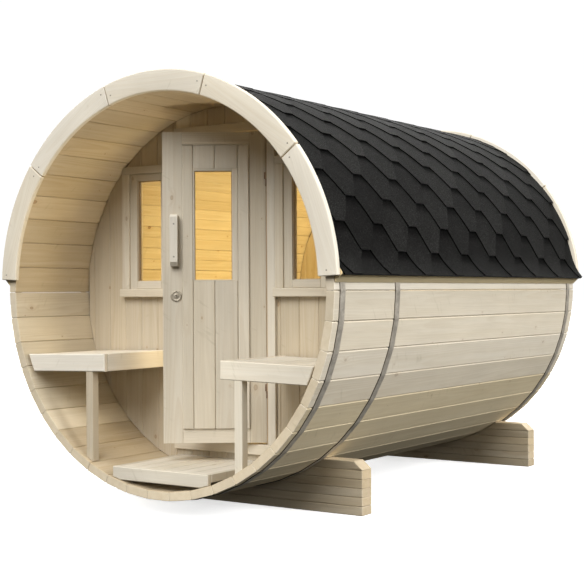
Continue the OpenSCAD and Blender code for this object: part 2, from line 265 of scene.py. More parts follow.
SPRUCE = wood("spruce_outside", (0.700, 0.648, 0.552), (0.650, 0.593, 0.486), (0.56, 0.470, 0.345), tone_amp=0.15, knots=0.36, ring=0.30, mark=0.42)
INNER = wood("spruce_inside", (0.570, 0.490, 0.365), (0.525, 0.440, 0.312), (0.44, 0.340, 0.208), tone_amp=0.18, knots=0.40, ring=0.38, mark=0.85)
# a warmer copy of the outside wood: painted warm shade low on the barrel
WARM_SHADE = wood("spruce_painted_warm_shade", (0.715, 0.632, 0.462), (0.665, 0.577, 0.404), (0.57, 0.457, 0.288), tone_amp=0.15, knots=0.36, ring=0.30, mark=0.42)
# a paler copy of the inside wood: painted light
PALE_LIT = wood("spruce_painted_lighter", (0.612, 0.552, 0.443), (0.574, 0.508, 0.396), (0.49, 0.400, 0.272), tone_amp=0.16, knots=0.36, ring=0.36, mark=0.7)
STEP = wood("spruce_step", (0.680, 0.640, 0.556), (0.645, 0.600, 0.512), (0.58, 0.507, 0.390), tone_amp=0.10, knots=0.16, ring=0.28, mark=0.40)
EDGE = wood("spruce_step_edge", (0.585, 0.550, 0.478), (0.555, 0.516, 0.440), (0.50, 0.436, 0.335), tone_amp=0.10, knots=0.16, ring=0.28, mark=0.40)
# dark brown for beads and a jamb strip: painted shade
BEAD_SHADE = wood("spruce_bead_painted_shade", (0.42, 0.315, 0.205), (0.37, 0.270, 0.170), (0.29, 0.200, 0.12), tone_amp=0.10, knots=0.05, ring=0.30, mark=0.5)
CABIN = wood("spruce_cabin", (0.600, 0.520, 0.390), (0.550, 0.460, 0.325), (0.43, 0.320, 0.19), tone_amp=0.08, knots=0.80, ring=0.40, mark=1.25)
CRADLE = wood("spruce_cradle", (0.622, 0.540, 0.408), (0.574, 0.488, 0.356), (0.48, 0.372, 0.235), tone_amp=0.16, knots=0.36, ring=0.42, mark=0.6)
BATTEN = wood("spruce_batten", (0.880, 0.750, 0.480), (0.820, 0.680, 0.415), (0.66, 0.505, 0.27), tone_amp=0.14, knots=0.60, ring=0.40, mark=0.6)
# a darker copy of the inside wood: painted shade on the porch floor staves
FLOOR_SHADE = wood("spruce_floor_painted_shade", (0.500, 0.425, 0.312), (0.460, 0.383, 0.270), (0.39, 0.298, 0.182), tone_amp=0.18, knots=0.36, ring=0.38, mark=0.7)
PLANED = wood("spruce_planed", (0.735, 0.693, 0.608), (0.700, 0.653, 0.562), (0.63, 0.552, 0.428), tone_amp=0.10, knots=0.16, ring=0.28, mark=0.40)
DOORW = wood("spruce_door", (0.605, 0.560, 0.476), (0.565, 0.514, 0.424), (0.497, 0.418, 0.312), tone_amp=0.12, knots=0.20, ring=0.34, mark=0.55)
WALLW = wood("spruce_wall", (0.515, 0.452, 0.352), (0.478, 0.412, 0.310), (0.41, 0.322, 0.205), tone_amp=0.16, knots=0.30, ring=0.36, mark=0.65)
FELT = shingle_felt("shingle_felt")
ZINC = metal("zinc_band", (0.54, 0.490, 0.412), (0.68, 0.625, 0.535), 0.38, 0.52, weight=0.58)
EDGEM = metal("band_edge", (0.10, 0.085, 0.065), (0.19, 0.165, 0.13), 0.50, 0.65)
LOCKM = metal("lock_steel", (0.36, 0.315, 0.245), (0.48, 0.425, 0.335), 0.42, 0.58, weight=0.6)
DARKM = metal("dark_screw", (0.10, 0.085, 0.07), (0.18, 0.16, 0.13), 0.45, 0.6)
HINGEM = metal("hinge_steel", (0.20, 0.13, 0.085), (0.33, 0.23, 0.16), 0.45, 0.60, weight=0.7)
GLASS = pane_glass("clear_pane")

# ---------------------------------------------------------------- mesh code


def inset(poly, d):
    """Moves the sides of a counter-clockwise outline inward by d."""
    out, n = [], len(poly)
    for i in range(n):
        p0, p1, p2 = poly[i - 1], poly[i], poly[(i + 1) % n]
        e1 = (p1[0] - p0[0], p1[1] - p0[1])
        e2 = (p2[0] - p1[0], p2[1] - p1[1])
        l1, l2 = math.hypot(*e1) or 1, math.hypot(*e2) or 1
        n1, n2 = (-e1[1] / l1, e1[0] / l1), (-e2[1] / l2, e2[0] / l2)
        k = d / max(0.25, 1 + n1[0] * n2[0] + n1[1] * n2[1])
        out.append((p1[0] + k * (n1[0] + n2[0]), p1[1] + k * (n1[1] + n2[1])))
    return out


def rrect(a0, a1, b0, b1, r=2.0, n=2):
    """A rectangle with rounded corners, counter-clockwise."""
    out = []
    for cx, cy, s in ((a1 - r, b0 + r, -90), (a1 - r, b1 - r, 0), (a0 + r, b1 - r, 90), (a0 + r, b0 + r, 180)):
        for i in range(n + 1):
            t = math.radians(s + 90 * i / n)
            out.append((cx + r * math.cos(t), cy + r * math.sin(t)))
    return out


def crect(a0, a1, b0, b1, c=3.0, d=None):
    """A rectangle with cut corners: c on the low b side, d on the high one."""
    d = c if d is None else d
    return [(a0 + c, b0), (a1 - c, b0), (a1, b0 + c), (a1, b1 - d), (a1 - d, b1), (a0 + d, b1), (a0, b1 - d), (a0, b0 + c)]


class Piece:
    """Closed solids collected for one object, with the coordinates their material reads."""

    def __init__(self):
        self.v, self.f, self.g = [], [], []
        self.tone, self.tint, self.end, self.mat, self.soft = [], [], [], [], []

    def add(self, verts, faces, grain, tone, tint, ends, mat=0, soft=False):
        base = len(self.v)
        self.v += verts
        self.g += grain
        for f, e in zip(faces, ends):
            self.f.append(tuple(base + i for i in f))
            self.end.append(e)
            self.tone.append(tone)
            self.tint.append(tint)
            self.mat.append(mat)
            self.soft.append(soft)

    def loft(self, rings, axes, mat=0, closed=False, soft=False, pith=True, tone=None):
        """Joins rings of points into a solid. axes = origin, along, across and through the grain."""
        o, e1, e2, e3 = axes
        n, m = len(rings[0]), len(rings)
        verts = [Vector(p) for ring in rings for p in ring]
        faces = []
        for k in range(m if closed else m - 1):
            q = (k + 1) % m
            for i in range(n):
                j = (i + 1) % n
                faces.append((k * n + i, k * n + j, q * n + j, q * n + i))
        if not closed:
            faces.append(tuple(reversed(range(n))))
            faces.append(tuple(range((m - 1) * n, m * n)))
        if pith:
            off = (rng.uniform(0, 60), rng.uniform(-0.055, 0.055), rng.choice((-1, 1)) * rng.uniform(0.035, 0.15))
            lean = (rng.uniform(-0.012, 0.012), rng.uniform(-0.012, 0.012))
        else:
            off, lean = (rng.uniform(0, 60), 0, 0), (0, 0)
        grain = []
        for p in verts:
            q = p - o
            a, b, c = q.dot(e1) / 1000, q.dot(e2) / 1000, q.dot(e3) / 1000
            grain.append((a + off[0], b + off[1] + lean[0] * a, c + off[2] + lean[1] * a))
        ends = []
        for f in faces:
            nn = Vector((0, 0, 0))
            for i in range(len(f)):
                p, q = verts[f[i]], verts[f[(i + 1) % len(f)]]
                nn += p.cross(q)
            ends.append(1.0 if nn.length > 0 and abs(nn.normalized().dot(e1)) > 0.75 else 0.0)
        tone = rng.random() if tone is None else tone
        self.add(verts, faces, grain, tone, rng.random(), ends, mat, soft)

    def prism(self, poly, ax, ay, l0, l1, o=Vector((0, 0, 0)), bev=1.5, along="l", mat=0, soft=False):
        """Extrudes an outline in the plane ax, ay along ax x ay, with its end edges eased."""
        al = ax.cross(ay)
        f0 = l0 if callable(l0) else (lambda a, b: l0)
        f1 = l1 if callable(l1) else (lambda a, b: l1)
        inn = inset(poly, bev)
        rings = []
        for ring, f, e in ((inn, f0, 0.0), (poly, f0, bev), (poly, f1, -bev), (inn, f1, 0.0)):
            rings.append([o + ax * a + ay * b + al * (f(a, b) + e) for a, b in ring])
        ca = sum(p[0] for p in poly) / len(poly)
        cb = sum(p[1] for p in poly) / len(poly)
        org = o + ax * ca + ay * cb
        axes = {"l": (org, al, ax, ay), "a": (org, ax, ay, al), "b": (org, ay, ax, al)}[along]
        self.loft(rings, axes, mat, soft=soft)

    def lathe(self, o, axis, prof, n=20, mat=0, soft=True):
        """A turned solid: (radius, height) pairs along the axis, lowest first."""
        axis = axis.normalized()
        side = axis.orthogonal().normalized()
        up = axis.cross(side)
        rings = []
        for r, h in prof:
            rings.append([o + axis * h + (side * math.cos(t) + up * math.sin(t)) * r for t in (2 * math.pi * i / n for i in range(n))])
        self.loft(rings, (o, axis, side, up), mat, soft=soft, pith=False)

    def make(self, name, mats, body, nodes=(), turn=None, mirror=False, sharp=30.0):
        pts = [turn(p) if turn else p for p in self.v]
        faces = self.f
        if mirror:
            pts = [Vector((-p[0], p[1], p[2])) for p in pts]
            faces = [tuple(reversed(f)) for f in faces]
        me = bpy.data.meshes.new(name)
        me.from_pydata([row(p) for p in pts], [], faces)
        a = me.attributes.new("grain", "FLOAT_VECTOR", "POINT")
        a.data.foreach_set("vector", [c for p in self.g for c in p])
        for key, vals in (("tone", self.tone), ("tint", self.tint), ("endg", self.end)):
            a = me.attributes.new(key, "FLOAT", "FACE")
            a.data.foreach_set("value", vals)
        for mt in mats:
            me.materials.append(mt)
        me.polygons.foreach_set("material_index", self.mat)
        me.polygons.foreach_set("use_smooth", self.soft)
        me.update()
        if any(self.soft):
            me.set_sharp_from_angle(angle=math.radians(sharp))
        ob = bpy.data.objects.new(name, me)
        bpy.context.scene.collection.objects.link(ob)
        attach(ob, body)
        if nodes:
            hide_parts(*nodes)
        return ob


def polar(r, deg, y=0.0, cz=0.0):
    t = math.radians(deg)
    return Vector((r * math.cos(t), y, cz + r * math.sin(t)))


def screw(S, p, axis, r=4.5, h=0.8, mat=1):
    """A sunk screw head: a low dome with a dished middle."""
    S.lathe(p - axis * 2.0, axis, [(r, 0.0), (r, 2.0 + h * 0.3), (r * 0.8, 2.0 + h), (r * 0.42, 2.0 + h), (r * 0.34, 2.0 - h * 0.4)], 12, mat)


# ---------------------------------------------------------------- barrel

N_ST, LEN, R_OUT = 46, 2859.0, 1025.0
ST = 360.0 / N_ST
AP_OUT = R_OUT * math.cos(math.radians(ST / 2))
AP_IN = AP_OUT - 45.0
TAN = math.tan(math.radians(ST / 2))
R_CLIP = 976.6


def stave(S, k):
    t = math.radians((k + 0.5) * ST)
    rad = Vector((math.cos(t), 0, math.sin(t)))
    tan = Vector((-math.sin(t), 0, math.cos(t)))
    co, ci, gap = 4.8, 3.6, 0.6

    def w(b):
        return b * TAN - gap

    prof = [
        (-w(AP_IN) + ci, AP_IN), (w(AP_IN) - ci, AP_IN), (w(AP_IN + ci), AP_IN + ci), (w(AP_OUT - co), AP_OUT - co),
        (w(AP_OUT) - co, AP_OUT), (-w(AP_OUT) + co, AP_OUT), (-w(AP_OUT - co), AP_OUT - co), (-w(AP_IN + ci), AP_IN + ci),
    ]

    def grooved(ring, deep):
        """The outline with a fine groove down the middle of the inner face."""
        b = ring[0][1]
        return [ring[0], (-2.0, b), (0.0, b + deep), (2.0, b)] + ring[1:]

    end, flat, cut = grooved(inset(prof, 2.0), 0.0), grooved(prof, 0.0), grooved(prof, 3.4)
    rings = [[tan * a + rad * b + Y * y for a, b in ring] for ring, y in (
        (end, 0.0), (flat, 2.0), (flat, 578.0), (cut, 590.0), (cut, 2760.0), (flat, 2775.0), (flat, LEN - 2.0), (end, LEN))]
    S.loft(rings, (rad * (AP_OUT - 22.0), Y, tan, rad))
    # the inner face and its eased edges: porch and rear end, and the cabin between them
    for q in range(7):
        for i in (0, 1, 2, 3, 4, 10):
            S.mat[len(S.mat) - 79 + q * 11 + i] = 2 if 2 <= q <= 4 else 1


for name, k0, k1 in (
    ("right_upper_staves", 0, 5), ("roof_staves", 6, 16), ("left_upper_staves", 17, 22),
    ("left_lower_staves", 23, 28), ("floor_staves", 29, 39), ("right_lower_staves", 40, 45),
):
    S = Piece()
    for k in range(k0, k1 + 1):
        stave(S, k)
        # painted warm shade: the lower staves take the full tint
        if 26 <= k <= 42:
            S.tint[-79:] = [1.0] * 79
        if 27 <= k <= 41:
            # the long outer faces low down, in the warmer wood: painted warm shade
            for q in range(1, 6):
                for i in range(5, 10):
                    S.mat[len(S.mat) - 79 + q * 11 + i] = 3
    # inner faces: the floor staves take a darker copy of the inside wood as painted shade, the lower left staves a
    # paler copy as painted light
    S.make("visual_" + name, [SPRUCE, {"floor_staves": FLOOR_SHADE, "left_lower_staves": PALE_LIT}.get(name, INNER), CABIN, WARM_SHADE], "cabin", [name])

# arch boards over the stave ends, each sawn from a straight plank
ARCH_CZ, ARCH_R0, ARCH_R1 = 26.0, 952.0, 1058.0
for name, ya, yb, out in (("front_arch", -28.0, 0.0, -1), ("rear_arch", LEN, LEN + 28.0, 1)):
    S = Piece()
    prof = rrect(ARCH_R0, ARCH_R1, ya, yb, 7.0, 4)
    inn = inset(prof, 4.0)
    for k in range(5):
        a0, a1 = 2.25 + 35.1 * k, 2.25 + 35.1 * (k + 1)
        g0 = 0.0 if k == 0 else 0.15
        g1 = 0.0 if k == 4 else 0.15
        a0, a1, be = a0 + g0, a1 - g1, 0.20
        am = (a0 + a1) / 2
        st = [(inn, a0), (prof, a0 + be)] + [(prof, a0 + be + (a1 - a0 - 2 * be) * i / 18) for i in range(1, 18)] + [(prof, a1 - be), (inn, a1)]
        rings = [[polar(r, a, y, ARCH_CZ) for r, y in ring] for ring, a in st]
        c = polar((ARCH_R0 + ARCH_R1) / 2, am, (ya + yb) / 2, ARCH_CZ)
        tm = math.radians(am)
        S.loft(rings, (c, Vector((-math.sin(tm), 0, math.cos(tm))), Vector((math.cos(tm), 0, math.sin(tm))), Y), soft=True)
        for a in (a0 + 1.5, a1 - 1.5):
            p = polar(rng.uniform(990.0, 1026.0), a, ya if out < 0 else yb, ARCH_CZ)
            screw(S, p, Y * out, 3.6, 0.5)
    S.make("visual_" + name, [PLANED, DARKM], "cabin", [name])

# steel bands, with their edge faces and chamfers in a dark metal
S = Piece()
for y0 in (43.0, 550.0, LEN - 118.0):
    prof = crect(R_OUT + 0.12, R_OUT + 4.2, y0, y0 + 45.0, 0.8)
    rings = [[polar(r, k * ST, y) for r, y in prof] for k in range(N_ST)]
    S.loft(rings, (Vector((0, y0, 0)), Y, X, Z), closed=True, pith=False)
    for k in range(N_ST):
        for i in (0, 1, 3, 4, 5, 7):
            S.mat[len(S.mat) - 8 * N_ST + 8 * k + i] = 1
S.make("visual_steel_bands", [ZINC, EDGEM], "cabin", ["steel_bands"])

# eave battens
for name, flip in (("right_eave_batten", False), ("left_eave_batten", True)):
    S = Piece()
    p4 = polar(1027.5, ST)
    poly = [(1025.6, 37.0), (1066.2, 75.0), (1066.2, 85.6), (1042.4, 116.3), (1022.8, 168.8), (1014.0, 168.8), (p4.x, p4.z)]
    S.prism(poly, X, Z, -(LEN - 0.3), -0.3, bev=1.5)
    S.make("visual_" + name, [BATTEN], "cabin", [name], mirror=flip)

# ---------------------------------------------------------------- shingles

ROOF_R, ROOF_CZ = 1026.0, 26.0
EAVE_Z, FLARE_Z, FLARE_X = 69.0, 250.0, 49.5
PITCH, FLAT, SLANT = 343.0, 83.0, 88.5


def under_roof(z):
    """The curve the shingles lie on: concentric with the arch, flaring out at the eave."""
    x = math.sqrt(ROOF_R ** 2 - (z - ROOF_CZ) ** 2)
    return x + FLARE_X * (max(0.0, FLARE_Z - z) / (FLARE_Z - EAVE_Z)) ** 2.7


TAB = []
z = EAVE_Z
while z < FLARE_Z:
    TAB.append((under_roof(z), z))
    z += 4.0
a = math.asin((FLARE_Z - ROOF_CZ) / ROOF_R)
while a < math.pi / 2:
    TAB.append((ROOF_R * math.cos(a), ROOF_CZ + ROOF_R * math.sin(a)))
    a += 0.004
TAB.append((0.0, ROOF_CZ + ROOF_R))
RUNS = [0.0]
for p, q in zip(TAB, TAB[1:]):
    RUNS.append(RUNS[-1] + math.hypot(q[0] - p[0], q[1] - p[1]))


def find(s):
    lo, hi = 0, len(RUNS) - 1
    while hi - lo > 1:
        mid = (lo + hi) // 2
        if RUNS[mid] <= s:
            lo = mid
        else:
            hi = mid
    return lo


def roof_point(s, d, y):
    s = min(max(s, 0.0), RUNS[-1])
    i = find(s)
    f = (s - RUNS[i]) / (RUNS[i + 1] - RUNS[i])
    (x0, z0), (x1, z1) = TAB[i], TAB[i + 1]
    h, k = TAB[max(i - 1, 0)], TAB[min(i + 2, len(TAB) - 1)]
    tx, tz = k[0] - h[0], k[1] - h[1]
    n = math.hypot(tx, tz)
    return Vector((x0 + (x1 - x0) * f + d * tz / n, y, z0 + (z1 - z0) * f - d * tx / n))


def run_at(deg):
    """Length of the section up to an angle about the roof's centre."""
    for i in range(len(TAB)):
        if math.degrees(math.atan2(TAB[i][1] - ROOF_CZ, TAB[i][0])) >= deg:
            return RUNS[i]
    return RUNS[-1]


S_TOP = RUNS[-1] - 1.0
Y0, Y1 = 0.4, LEN - 0.4
N_COURSE = 12
BOTTOM = {i: run_at(8.84 + 7.38 * i - 0.035 * i * i) for i in range(0, N_COURSE + 1)}
BOTTOM[-1] = BOTTOM[0] - 134.0
BOTTOM[-2] = BOTTOM[0] - 268.0


def settle(s, d):
    """The courses bed down and lap less towards the ridge."""
    t = min(1.0, max(0.0, (s - S_TOP + 800.0) / 450.0))
    f = 1.0 - 0.66 * t * t * (3.0 - 2.0 * t)
    return 10.5 * (1.0 - f) + f * d


def slab(S, cols, low, s0, top, tone_of, lift_of, seed, rows=8):
    """One course: a thin strip from the cut lower edge up to under the courses above."""
    n = len(cols)
    verts, grain = [], []
    for under in (False, True):
        for y in cols:
            for i in range(rows):
                s = low(y) + (top - low(y)) * i / (rows - 1)
                q = s - s0
                d = 14.4 - 13.4 * q / 300.0
                d += lift_of(y) * max(0.0, 1 - q / 140.0)
                if under:
                    d = max(0.15, d - 8.0)
                verts.append(roof_point(s, settle(s, d), y))
                grain.append((y / 1000, q / 1000, seed))
    half = n * rows

    def at(j, i, u=0):
        return u * half + j * rows + i

    for j in range(n - 1):
        faces, ends = [], []
        for i in range(rows - 1):
            faces.append((at(j, i), at(j + 1, i), at(j + 1, i + 1), at(j, i + 1)))
            ends.append(0.0)
            faces.append((at(j, i, 1), at(j, i + 1, 1), at(j + 1, i + 1, 1), at(j + 1, i, 1)))
            ends.append(1.0)
        faces.append((at(j, 0), at(j, 0, 1), at(j + 1, 0, 1), at(j + 1, 0)))
        ends.append(1.0)
        faces.append((at(j, rows - 1), at(j + 1, rows - 1), at(j + 1, rows - 1, 1), at(j, rows - 1, 1)))
        ends.append(1.0)
        if j == 0:
            for i in range(rows - 1):
                faces.append((at(0, i), at(0, i + 1), at(0, i + 1, 1), at(0, i, 1)))
                ends.append(1.0)
        if j == n - 2:
            for i in range(rows - 1):
                faces.append((at(n - 1, i), at(n - 1, i, 1), at(n - 1, i + 1, 1), at(n - 1, i + 1)))
                ends.append(1.0)
        mid = (cols[j] + cols[j + 1]) / 2
        tone = tone_of(mid)
        base = len(S.v)
        if j == 0:
            S.v += verts
            S.g += grain
            start = base
        for f, e in zip(faces, ends):
            S.f.append(tuple(start + i for i in f))
            S.end.append(e)
            S.tone.append(tone)
            S.tint.append(0.5)
            S.mat.append(0)
            S.soft.append(True)


def course(S, i, centre):
    s0 = BOTTOM[i]
    expo = BOTTOM[min(i + 1, N_COURSE)] - s0 or 120.0
    deep = expo + 7.0
    run = SLANT * deep / expo
    top = min(s0 + 2 * expo + 28.0, S_TOP)

    def local(y):
        return (y - centre + PITCH / 2) % PITCH - PITCH / 2

    def low(y):
        t = abs(local(y))
        z = 0.0 if t <= FLAT / 2 else min(deep, (t - FLAT / 2) / run * deep)
        return min(max(0.0, s0 + z), top - 4.0)

    marks = {Y0, Y1}
    for n in range(-2, 12):
        c = centre + PITCH * n
        for e in (0.0, FLAT / 2, FLAT / 2 + run / 3, FLAT / 2 + 2 * run / 3, FLAT / 2 + run):
            marks |= {c - e, c + e}
        marks.add(c + PITCH / 2)
    cols = sorted(y for y in marks if Y0 <= y <= Y1)
    cols = [cols[0]] + [b for a, b in zip(cols, cols[1:]) if b - a > 0.5]
    tones, lifts = {}, {}
    for n in range(-3, 14):
        tones[n] = rng.random()
        lifts[n] = rng.uniform(-0.4, 1.3)

    def index(y):
        return math.floor((y - centre + PITCH / 2) / PITCH)

    slab(S, cols, low, s0, top, lambda y: tones[index(y)], lambda y: lifts[index(y)] * max(0.0, 1 - abs(local(y)) / 150.0), rng.uniform(0, 40))


S = Piece()
parts = []
for flip in (False, True):
    H = Piece()
    ys = [Y0 + (Y1 - Y0) * i / 20 for i in range(21)]
    slab(H, ys, lambda y: 0.0, BOTTOM[-2], 150.0, lambda y: 0.45, lambda y: 0.0, 3.0, 7)
    for i in range(-1, N_COURSE):
        course(H, i, (283.0 if i % 2 == 0 else 115.0) - 14.0 - 6.5 * i - 0.6 * i * i)
    base = len(S.v)
    S.v += [Vector((-p.x, p.y, p.z)) for p in H.v] if flip else H.v
    S.g += [(a, b, c + (50.0 if flip else 0.0)) for a, b, c in H.g]
    for f in H.f:
        f = tuple(base + i for i in f)
        S.f.append(tuple(reversed(f)) if flip else f)
    S.tone += H.tone
    S.tint += H.tint
    S.end += H.end
    S.mat += H.mat
    S.soft += H.soft
# ridge caps, lapped towards the rear
n_cap = 20
for k in range(n_cap):
    ya = Y0 + (LEN - 0.8 - 60) * k / n_cap
    yb = min(ya + 205.0, Y1)
    rings = []
    for j in range(11):
        a = 82.2 + 15.6 * j / 10
        rings.append([polar(ROOF_R + d, a, y, ROOF_CZ) for d, y in ((14.2, ya), (13.0, yb), (9.6, yb), (11.4, ya))])
    rings = [[Vector(p) for p in ring] for ring in rings]
    base = len(S.v)
    H = Piece()
    H.loft([list(reversed(r)) for r in rings], (Vector((0, ya, 0)), Y, X, Z), soft=True, pith=False)
    H.g = [(p.y / 1000, p.x / 1000, 70.0 + k) for p in H.v]
    S.add(H.v, H.f, H.g, rng.random(), 0.5, [0.0] * len(H.f), 0, True)
S.make("visual_shingle_roof", [FELT], "cabin", ["shingle_roof"], sharp=24.0)

# ---------------------------------------------------------------- end walls


def zc(x, r=R_CLIP):
    return math.sqrt(max(r * r - x * x, 4.0))


LINES = [3.0 + 116.0 * k for k in range(-9, 10)]


def wall(S, xa, xb, ya, yb, lo, hi, hole=None):
    """Upright boards between xa and xb, with grooved joints, cut round a window."""
    edges = [xa] + [x for x in LINES if xa + 6 < x < xb - 6] + [xb]
    for a, b in zip(edges, edges[1:]):
        spans = [(a, b, lo, hi)]
        if hole and a < hole[1] and b > hole[0]:
            x0, x1, z0, z1 = hole
            spans = [(a, b, lo, z0), (a, b, z1, hi)]
            if a < x0 - 1:
                spans.append((a, x0, z0, z1))
            if b > x1 + 1:
                spans.append((x1, b, z0, z1))
        for p, q, l0, l1 in spans:
            poly = crect(p, q, ya, yb, 4.2)
            S.prism(poly, X, Y, l0, l1, bev=1.0)


def arc_up(a, b):
    return zc(a)


def arc_down(a, b):
    return -zc(a)


HOLE = (380.0, 651.0, 16.0, 649.0)
for name, flip in (("front_wall_left", True), ("front_wall_right", False)):
    S = Piece()
    if flip:
        keep = LINES
        LINES = [-x for x in reversed(keep)]
    wall(S, 328.5, 970.0, 556.0, 601.0, arc_down, arc_up, HOLE)
    if flip:
        LINES = keep
    S.make("visual_" + name, [WALLW], "cabin", [name], mirror=flip)
# the wall over the door in the paler wood: painted light on a shaded wall
S = Piece()
wall(S, -328.0, 328.0, 556.0, 601.0, 880.4, arc_up)
S.make("visual_front_wall_over_door", [PALE_LIT], "cabin", ["front_wall_over_door"])
S = Piece()
wall(S, -328.0, 328.0, 556.0, 601.0, arc_down, -845.4)
S.make("visual_front_wall_below_door", [WALLW], "cabin", ["front_wall_below_door"])
S = Piece()
wall(S, -970.0, 970.0, 2745.0, 2790.0, arc_down, arc_up)
for i, f in enumerate(S.f):
    if all(S.v[j].y < 2750.0 for j in f):
        S.mat[i] = 1
S.make("visual_rear_wall", [WALLW, CABIN], "cabin", ["rear_wall"])

# door frame
for name, x0, x1 in (("door_jamb_left", -328.0, -276.0), ("door_jamb_right", 276.0, 328.0)):
    S = Piece()
    S.prism(rrect(x0, x1, 540.0, 601.0, 2.5), X, Y, -789.7, 831.7, bev=1.0)
    stop = (238.0, 276.2) if x0 > 0 else (-276.2, -256.0)
    S.prism(rrect(stop[0], stop[1], 587.0, 601.0, 1.5), X, Y, -789.5, 831.5, bev=0.8)
    # a thin strip of the dark bead wood down the right jamb by the leaf: a painted shadow line
    if x0 > 0:
        S.prism(crect(276.2, 281.4, 539.0, 540.4, 0.4), X, Y, -789.0, 831.0, bev=0.3, mat=1)
    S.make("visual_" + name, [DOORW, BEAD_SHADE], "cabin", [name])
S = Piece()
S.prism(rrect(540.0, 601.0, 832.0, 880.0, 2.5), Y, Z, -328.0, 328.0, bev=1.5)
S.prism(rrect(587.0, 601.0, 814.0, 832.2, 1.5), Y, Z, -268.0, 237.5, bev=0.8)
S.make("visual_door_head", [DOORW], "cabin", ["door_head"])
S = Piece()
S.prism(rrect(528.0, 601.0, -845.0, -790.0, 4.0), Y, Z, -328.0, 328.0, bev=1.5)
S.make("visual_door_threshold", [DOORW], "cabin", ["door_threshold"])

# windows
for side, flip in (("left", True), ("right", False)):
    S = Piece()
    S.prism(rrect(329.0, 380.0, 538.0, 556.0, 2.5), X, Y, 16.5, 648.8, bev=1.0)
    S.prism(rrect(651.0, 703.0, 538.0, 556.0, 2.5), X, Y, 16.5, 648.8, bev=1.0)
    top = [(329.0, 649.4), (703.0, 649.4), (703.0, 676.0), (688.0, 691.0), (329.0, 691.0)]
    S.prism(top, X, Z, -556.0, -538.0, bev=2.0, along="a")
    S.prism(rrect(516.0, 556.0, -29.0, 16.0, 5.0, 3), Y, Z, 329.0, 703.0, bev=2.0)
    S.make("visual_%s_window_casing" % side, [DOORW], "cabin", ["%s_window_casing" % side], mirror=flip)
    S = Piece()
    S.prism(rrect(380.4, 431.0, 548.0, 598.0, 3.0), X, Y, 16.4, 648.6, bev=1.0)
    S.prism(rrect(600.0, 650.6, 548.0, 598.0, 3.0), X, Y, 16.4, 648.6, bev=1.0)
    S.prism(rrect(548.0, 598.0, 16.4, 57.0, 3.0), Y, Z, 431.2, 599.8, bev=0.8)
    S.prism(rrect(548.0, 598.0, 610.0, 648.6, 3.0), Y, Z, 431.2, 599.8, bev=0.8)
    # beads on the sides and top in the dark bead wood as painted shade; the bottom ones keep the sash wood
    for y0, y1 in ((560.5, 569.8), (576.2, 586.0)):
        S.prism(rrect(431.2, 434.6, y0, y1, 1.0), X, Y, 57.2, 609.8, bev=0.5, mat=1)
        S.prism(rrect(596.4, 599.8, y0, y1, 1.0), X, Y, 57.2, 609.8, bev=0.5, mat=1)
        S.prism(rrect(y0, y1, 57.2, 60.6, 1.0), Y, Z, 434.8, 596.2, bev=0.5)
        S.prism(rrect(y0, y1, 606.4, 609.8, 1.0), Y, Z, 434.8, 596.2, bev=0.5, mat=1)
    S.make("visual_%s_window_sash" % side, [DOORW, BEAD_SHADE], "cabin", ["%s_window_sash" % side], mirror=flip)
    S = Piece()
    S.prism(crect(431.3, 599.7, 570.0, 576.0, 0.8), X, Y, 57.3, 609.7, bev=0.8)
    S.make("visual_%s_window_glass" % side, [GLASS], "cabin", ["%s_window_glass" % side], mirror=flip)

# ---------------------------------------------------------------- porch

TILT = math.radians(1.4)
EX = Vector((math.cos(TILT), 0, -math.sin(TILT)))
EZ = Vector((math.sin(TILT), 0, math.cos(TILT)))
for side, bz, flip in (("right", -329.0, False), ("left", -315.0, True)):
    o = Vector((369.0, 0, bz))

    def reach(z, r=R_CLIP - 0.6):
        """How far a bench board goes before it meets the barrel."""
        p = o + EZ * z
        b, c = p.x * EX.x + p.z * EX.z, p.x ** 2 + p.z ** 2 - r * r
        return -b + math.sqrt(b * b - c)

    S = Piece()
    S.prism([(0.0, -90.0), (reach(-90, 962.0), -90.0), (reach(-45, 962.0), -45.0), (reach(0, 962.0), 0.0), (0.0, 0.0)], EX, EZ, -48.0, -20.0, o, bev=4.0, along="a")
    S.prism(rrect(0.0, 28.0, -90.0, 0.0, 4.0), EX, EZ, -536.0, -48.3, o, bev=1.0)
    S.prism([(28.3, -90.0), (reach(-90), -90.0), (reach(-31), -31.0), (28.3, -31.0)], EX, EZ, -536.0, -508.0, o, bev=1.5, along="a")
    S.prism(rrect(0.0, 28.0, -90.0, -31.0, 2.0), EX, EZ, -555.5, -536.3, o, bev=1.0)
    S.make("visual_%s_bench_frame" % side, [PLANED], "cabin", ["%s_bench_frame" % side], mirror=flip)
    S = Piece()
    for i in range(5):
        x0 = 29.0 + 106.0 * i
        x1 = min(x0 + 98.0, reach(-30) - 1, reach(-2) - 1)
        S.prism(rrect(x0, x1, -30.0, -2.0, 4.0, 3), EX, EZ, -537.5, -48.5, o, bev=1.5)
    S.make("visual_%s_bench_slats" % side, [PLANED], "cabin", ["%s_bench_slats" % side], mirror=flip)
    S = Piece()
    S.prism(rrect(450.0, 495.0, 22.0, 67.0, 3.0), X, Y, lambda a, b: -zc(a) + 0.3, lambda a, b: bz - 90.6 - (a - 369.0) * 0.0244, bev=1.0)
    S.make("visual_%s_bench_post" % side, [WALLW if flip else STEP], "cabin", ["%s_bench_post" % side], mirror=flip)

